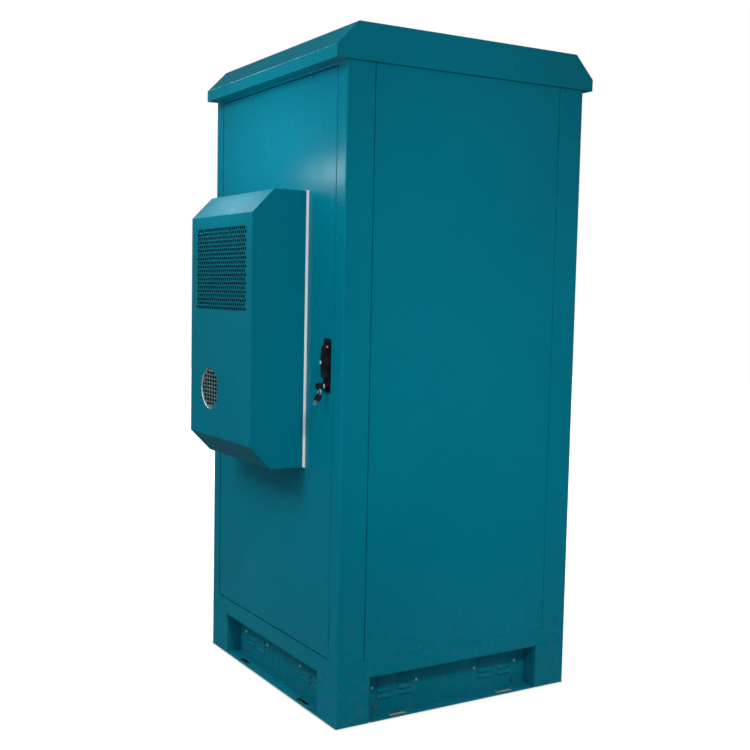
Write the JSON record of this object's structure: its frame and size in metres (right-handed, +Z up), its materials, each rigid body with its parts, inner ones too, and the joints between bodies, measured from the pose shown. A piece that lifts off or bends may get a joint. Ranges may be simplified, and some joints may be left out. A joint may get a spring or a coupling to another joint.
{
  "type": "roadside utility cabinet",
  "caption": "Outdoor equipment cabinet with a louvred plinth, a roof hood, one hinged door with a cooling unit and a swing handle, and equipment rails inside.",
  "frame": {"origin": "on the ground under the middle of the body, which is the centre of the anchor slots", "axes": "+Z up, +X to the right of someone who faces the door, the door faces -Y"},
  "size_m": [0.906, 1.13, 2.095],
  "materials": {
    "teal_paint": "satin powder coat",
    "zinc_steel": "galvanised",
    "bright_steel": "bright zinc",
    "black_handle": "semi-gloss black",
    "key_black": "moulded",
    "black_plastic": "moulded",
    "mesh_black": "matt black",
    "white_foam": "soft foam",
    "rubber_seal": "matt",
    "aluminium_fins": "finned",
    "compressor_paint": "black"
  },
  "bodies": {
    "cabinet": {"base_frame": "teal_paint", "ceiling_plate": "zinc_steel", "corner_post_front_left": "teal_paint", "corner_post_front_right": "teal_paint", "corner_post_rear_left": "teal_paint", "corner_post_rear_right": "teal_paint", "door_surround": "teal_paint", "equipment_shelf": "zinc_steel", "floor_plate": "zinc_steel", "gland_plate": "zinc_steel", "head_frame": "teal_paint", "hinge_frame_leaves": "zinc_steel", "hinge_pins": "bright_steel", "left_side_panel": "teal_paint", "plinth_bolts": "bright_steel", "plinth_post_front_left": "teal_paint", "plinth_post_front_right": "teal_paint", "plinth_post_rear_left": "teal_paint", "plinth_post_rear_right": "teal_paint", "plinth_rail_front": "teal_paint", "plinth_rail_left": "teal_paint", "plinth_rail_rear": "teal_paint", "plinth_rail_right": "teal_paint", "rack_rails": "zinc_steel", "rear_panel": "teal_paint", "right_side_panel": "teal_paint", "roof_hood": "teal_paint", "roof_supports": "zinc_steel", "vent_plates_front": "teal_paint", "vent_plates_left": "teal_paint", "vent_plates_rear": "teal_paint", "vent_plates_right": "teal_paint"},
    "door": {"door_panel": "teal_paint", "door_stiffeners": "zinc_steel", "door_seal": "rubber_seal", "hinge_door_leaves": "zinc_steel", "handle_base": "black_handle", "rod_guides": "black_plastic", "cooler_cover": "teal_paint", "cooler_seal": "white_foam", "cooler_chassis": "zinc_steel", "port_ring": "white_foam", "port_mesh": "mesh_black", "fan_frame": "black_plastic", "condenser_coil": "aluminium_fins", "evaporator_coil": "aluminium_fins", "compressor": "compressor_paint", "blower_motor": "compressor_paint"},
    "handle": {"handle_hub": "black_handle", "lock_cam": "zinc_steel"},
    "lever": {"lever": "black_handle", "lever_pin": "bright_steel"},
    "upper_rod": {"upper_lock_rod": "zinc_steel"},
    "lower_rod": {"lower_lock_rod": "zinc_steel"},
    "lock": {"lock_plug": "bright_steel", "key": "key_black"},
    "key_ring": {"key_ring": "bright_steel", "spare_key": "key_black"},
    "condenser_fan": {"condenser_fan": "black_plastic"},
    "blower": {"blower_wheel": "black_plastic"}
  },
  "joints": [
    {"name": "door_swing", "type": "hinge", "parent": "cabinet", "child": "door", "pos_m": [-0.4095, -0.442, 1.087], "axis": [0, 0, -1], "range_deg": [0, 110]},
    {"name": "handle_turn", "type": "hinge", "parent": "door", "child": "handle", "pos_m": [0.3635, -0.4527, 1.152], "axis": [0, 1, 0], "range_deg": [0, 90]},
    {"name": "lever_lift", "type": "hinge", "parent": "handle", "child": "lever", "pos_m": [0.3635, -0.459, 1.152], "axis": [-1, 0, 0], "range_deg": [0, 35]},
    {"name": "upper_rod_slide", "type": "slide", "parent": "door", "child": "upper_rod", "axis": [0, 0, -1], "range_m": [0, 0.01]},
    {"name": "lower_rod_slide", "type": "slide", "parent": "door", "child": "lower_rod", "axis": [0, 0, 1], "range_m": [0, 0.01]},
    {"name": "lock_turn", "type": "hinge", "parent": "door", "child": "lock", "pos_m": [0.3635, -0.456, 1.034], "axis": [0, 1, 0], "range_deg": [0, 90]},
    {"name": "ring_swing", "type": "hinge", "parent": "lock", "child": "key_ring", "pos_m": [0.3635, -0.477, 1.0265], "axis": [1, 0, 0], "range_deg": [-20, 20]},
    {"name": "condenser_fan_spin", "type": "hinge", "parent": "door", "child": "condenser_fan", "pos_m": [-0.071, -0.61, 0.995], "axis": [0, 1, 0], "continuous": true},
    {"name": "blower_spin", "type": "hinge", "parent": "door", "child": "blower", "pos_m": [0.006, -0.36, 1.06], "axis": [0, 1, 0], "continuous": true}
  ],
  "couplings": [
    {"joint": "upper_rod_slide", "follows": "handle_turn", "m_per_rad": 0.00636},
    {"joint": "lower_rod_slide", "follows": "handle_turn", "m_per_rad": 0.00636}
  ]
}
